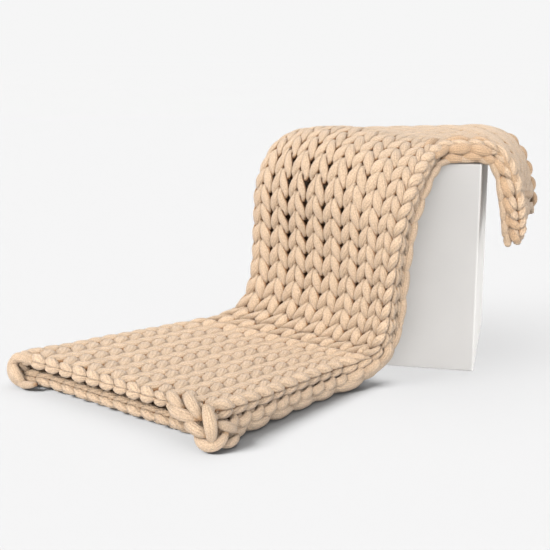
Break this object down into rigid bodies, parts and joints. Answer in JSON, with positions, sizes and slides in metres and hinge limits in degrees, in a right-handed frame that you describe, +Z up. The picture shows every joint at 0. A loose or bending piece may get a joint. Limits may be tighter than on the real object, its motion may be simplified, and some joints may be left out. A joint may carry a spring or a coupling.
{
  "type": "chunky knitted weighted blanket draped over a box plinth",
  "caption": "Chunky knitted weighted blanket, folded lengthwise, running from the floor up over a plain box plinth and down the plinth's right side.",
  "frame": {"origin": "middle of the plinth's base, on the floor", "axes": "+Z up; +X from the plinth's middle to the side that the blanket's free end hangs down; +Y from the plinth's front to its back"},
  "size_m": [1.3765, 1.2883, 0.6829],
  "materials": {
    "knit_cloth": "matte jersey tube yarn, sand",
    "plinth_paint": "matte white paint"
  },
  "bodies": {
    "root": {"blanket": "knit_cloth", "plinth": "plinth_paint"}
  },
  "joints": []
}
